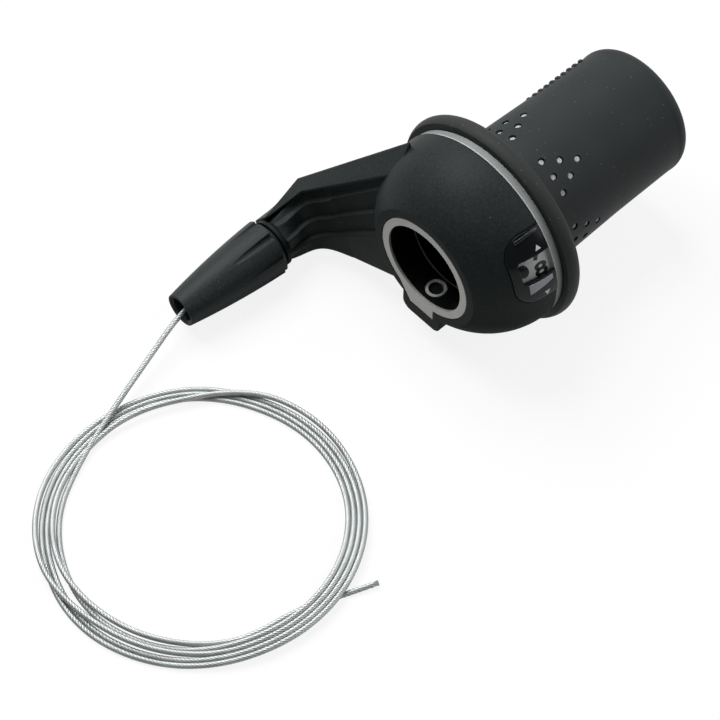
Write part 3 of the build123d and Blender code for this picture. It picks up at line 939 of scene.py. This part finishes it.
class SHIFTER_OT_housing(bpy.types.Operator):
    """Gives the dome and its cable arm the matte moulded finish"""

    bl_idname = "shifter.housing"
    bl_label = "Housing"

    def execute(self, context):
        colours = context.scene.shifter_finish
        moulding = moulded_plastic("moulded_black", colours.moulded, colours.dust, 0.46, 0.08, 0.0006)
        dress(moulding, "housing")
        return {"FINISHED"}


class SHIFTER_OT_clamp(bpy.types.Operator):
    """Finishes the clamp ring, its screw and the steel pieces"""

    bl_idname = "shifter.clamp"
    bl_label = "Clamp"

    def execute(self, context):
        colours = context.scene.shifter_finish
        dress(clamp_casting(colours), "clamp_ring")
        dress(cup_screw(colours), "clamp_screw")
        steel = bright_metal("steel", colours.steel, 0.3)
        dress(steel, "detent_spring", "adjuster_bolt", "adjuster_spring")
        dress(bright_metal("blued_steel", colours.blued, 0.45), "grip_retainer")
        return {"FINISHED"}


class SHIFTER_OT_window(bpy.types.Operator):
    """Finishes the gear window and adds its pointers, lens, ridge and tongue"""

    bl_idname = "shifter.window"
    bl_label = "Gear window"

    def execute(self, context):
        colours = context.scene.shifter_finish
        prints = context.scene.shifter_prints
        gloss = gloss_black("gloss_black", colours, 0.15)
        dress(gloss, "window_frame")
        deselect()
        bpy.ops.mesh.primitive_circle_add(vertices=3, radius=prints.pointer, fill_type="NGON")
        refine(3)
        triangle = context.object
        pointers = []
        for angle, x, tip in POINTERS:
            piece = copy_to(triangle, (0, 0, 0), (0, 0, radians(tip)))
            seat(piece, *round_bar(angle, POINTER_START, x))
            lay_on(piece, "window_frame", prints.film)
            pointers.append(piece)
        bpy.data.objects.remove(triangle)
        piece = join(pointers, "window_pointers")
        piece.data.materials.append(smooth_plastic("white_paint", colours.paint, 0.45))
        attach(piece, "bracket")

        lens = raised_pad("window_lens", *LENS)
        lens.data.materials.append(milky_lens(colours))
        ridge = raised_pad("window_ridge", *RIDGE)
        ridge.data.materials.append(gloss_black("window_polish", colours, 0.6))
        deselect()
        bpy.ops.mesh.primitive_circle_add(vertices=24, radius=TONGUE_RADIUS, fill_type="NGON")
        tongue = fresh("window_tongue")
        bpy.ops.object.mode_set(mode="EDIT")
        bpy.ops.mesh.select_all(action="SELECT")
        bpy.ops.transform.resize(value=(1, TONGUE_STRETCH, 1))
        bpy.ops.mesh.extrude_region_move(TRANSFORM_OT_translate={"value": (0, 0, TONGUE_THICKNESS)})
        bpy.ops.mesh.select_all(action="SELECT")
        bpy.ops.mesh.normals_make_consistent(inside=False)
        bpy.ops.object.mode_set(mode="OBJECT")
        round_off(tongue, TONGUE_ROUND)
        seat(tongue, (0, 0, 0), (0, radians(TONGUE_SLOPE), 0))
        seat(tongue, *round_bar(TONGUE_ANGLE, TONGUE_SEAT, TONGUE_X))
        tongue.data.materials.append(gloss)
        for piece in (lens, ridge, tongue):
            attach(piece, "bracket")
        return {"FINISHED"}


class SHIFTER_OT_numbers(bpy.types.Operator):
    """Finishes the number ring and prints the gear numbers on it"""

    bl_idname = "shifter.numbers"
    bl_label = "Gear numbers"

    def execute(self, context):
        colours = context.scene.shifter_finish
        prints = context.scene.shifter_prints
        dress(number_plastic(colours), "number_ring")
        digits = []
        for gear in range(1, GEARS + 1):
            deselect()
            angle = WINDOW_ANGLE + DIGIT_DROP - (GEARS - gear) * CLICK
            bpy.ops.object.text_add()
            text = context.object
            text.data.body = str(gear)
            text.data.size = TYPE_SIZE * prints.digit_height
            text.data.offset = TYPE_WEIGHT * prints.digit_height
            text.data.align_x = "CENTER"
            text.data.align_y = "CENTER"
            bpy.ops.object.convert(target="MESH")
            piece = context.object
            piece.scale = (prints.digit_width, 1, 1)
            bpy.ops.object.transform_apply(scale=True)
            seat(piece, *round_bar(angle, DIGIT_START, prints.digit_x))
            refine(2)
            lay_on(piece, "number_ring", prints.film)
            digits.append(piece)
        piece = join(digits, "gear_numbers")
        piece.data.materials.append(smooth_plastic("number_ink", colours.ink, 0.5))
        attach(piece, "grip")
        return {"FINISHED"}


class SHIFTER_OT_grip(bpy.types.Operator):
    """Finishes the grip and its sleeve, and adds the studs in its pits and its panel of bumps"""

    bl_idname = "shifter.grip"
    bl_label = "Grip"

    def execute(self, context):
        colours = context.scene.shifter_finish
        grip = context.scene.shifter_grip
        rubber = grip_rubber(colours)
        dress(rubber, "grip_rubber")
        core = smooth_plastic("grey_plastic", colours.core, 0.5)
        dress(core, "grip_core")
        dress(sleeve_plastic(colours), "bar_sleeve")
        deselect()
        bpy.ops.mesh.primitive_cylinder_add(vertices=18, radius=grip.stud_radius, depth=grip.stud_height)
        stud = context.object
        round_off(stud, 0.25 * grip.stud_radius)
        studs = []
        for group in range(PIT_GROUPS):
            for row in range(PIT_ROWS):
                count = PIT_ROWS - row
                for k in range(count):
                    angle = PIT_ANGLE + 360 / PIT_GROUPS * group + (k - (count - 1) / 2) * PIT_PITCH
                    middle = grip.stud_top - grip.stud_height / 2
                    studs.append(copy_to(stud, *round_bar(angle, middle, PIT_X + PIT_STEP * row)))
        bpy.data.objects.remove(stud)
        piece = join(studs, "core_studs")
        piece.data.materials.append(core)
        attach(piece, "grip")

        deselect()
        bpy.ops.mesh.primitive_uv_sphere_add(segments=12, ring_count=8, radius=grip.bump_radius)
        bpy.ops.object.mode_set(mode="EDIT")
        bpy.ops.mesh.select_all(action="SELECT")
        bpy.ops.transform.resize(value=(1, 1, BUMP_HEIGHT))
        bpy.ops.mesh.select_all(action="SELECT")
        foot = (0, 0, -BUMP_FOOT * grip.bump_radius)
        bpy.ops.mesh.bisect(plane_co=foot, plane_no=(0, 0, 1), use_fill=True, clear_inner=True)
        bpy.ops.object.mode_set(mode="OBJECT")
        bump = context.object
        bumps = []
        for row in range(grip.bump_rows):
            for k in range(grip.bump_count):
                shift = 0.5 * (row % 2)
                x = grip.bump_start + grip.bump_pitch * (k + shift)
                bumps.append(copy_to(bump, *round_bar(BUMP_ANGLE + BUMP_TURN * row, BUMP_SEAT, x)))
        bpy.data.objects.remove(bump)
        piece = join(bumps, "grip_bumps")
        bpy.ops.object.shade_smooth()
        piece.data.materials.append(rubber)
        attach(piece, "grip")
        return {"FINISHED"}


class SHIFTER_OT_adjuster(bpy.types.Operator):
    """Finishes the barrel adjuster"""

    bl_idname = "shifter.adjuster"
    bl_label = "Barrel adjuster"

    def execute(self, context):
        colours = context.scene.shifter_finish
        barrel = moulded_plastic("knob_black", colours.knob, colours.dust, 0.46, 0.15, 0.0003)
        dress(barrel, "adjuster_knob")
        dark = shade(colours.moulded, 0.4)
        collar = moulded_plastic("collar_black", dark, colours.dust, 0.5, 0.08, 0.0002)
        dress(collar, "adjuster_collar")
        dress(bright_metal("brass_insert", colours.brass, 0.3), "adjuster_insert")
        return {"FINISHED"}


class SHIFTER_OT_works(bpy.types.Operator):
    """Finishes the pieces inside the housing"""

    bl_idname = "shifter.works"
    bl_label = "Inner works"

    def execute(self, context):
        colours = context.scene.shifter_finish
        dress(smooth_plastic("washer_plastic", colours.liner, 0.4), "thrust_washer", "detent_ring")
        dress(smooth_plastic("guide_liner", colours.liner, 0.25), "cable_guide")
        dress(cast_metal("cast_head", colours.steel, 0.9, 0.4), "cable_head")
        dress(bpy.data.materials["cable"], "cable_wrap", "cable_run")
        return {"FINISHED"}


class SHIFTER_PT_pieces(bpy.types.Panel):
    """Lists the pieces of the shifter"""

    bl_label = "Twist grip shifter"
    bl_idname = "SHIFTER_PT_pieces"
    bl_space_type = "VIEW_3D"
    bl_region_type = "UI"
    bl_category = "Shifter"

    def draw(self, context):
        for operator in operators:
            self.layout.operator(operator.bl_idname)
        for group in settings:
            box = self.layout.box()
            box.label(text=group.__doc__)
            values = getattr(context.scene, settings[group])
            for name in group.__annotations__:
                box.prop(values, name)


settings = {
    StageSettings: "shifter_stage",
    CableSettings: "shifter_cable",
    FinishSettings: "shifter_finish",
    PrintSettings: "shifter_prints",
    GripSettings: "shifter_grip",
}
operators = [
    SHIFTER_OT_stage, SHIFTER_OT_cable, SHIFTER_OT_housing, SHIFTER_OT_clamp, SHIFTER_OT_window,
    SHIFTER_OT_numbers, SHIFTER_OT_grip, SHIFTER_OT_adjuster, SHIFTER_OT_works,
]


def register():
    for group, name in settings.items():
        bpy.utils.register_class(group)
        setattr(bpy.types.Scene, name, bpy.props.PointerProperty(type=group))
    for operator in operators:
        bpy.utils.register_class(operator)
    bpy.utils.register_class(SHIFTER_PT_pieces)


def unregister():
    bpy.utils.unregister_class(SHIFTER_PT_pieces)
    for operator in reversed(operators):
        bpy.utils.unregister_class(operator)
    for group, name in settings.items():
        delattr(bpy.types.Scene, name)
        bpy.utils.unregister_class(group)


def main():
    register()
    for operator in operators:
        group, name = operator.bl_idname.split(".")
        getattr(getattr(bpy.ops, group), name)()


if __name__ == "__main__":
    main()
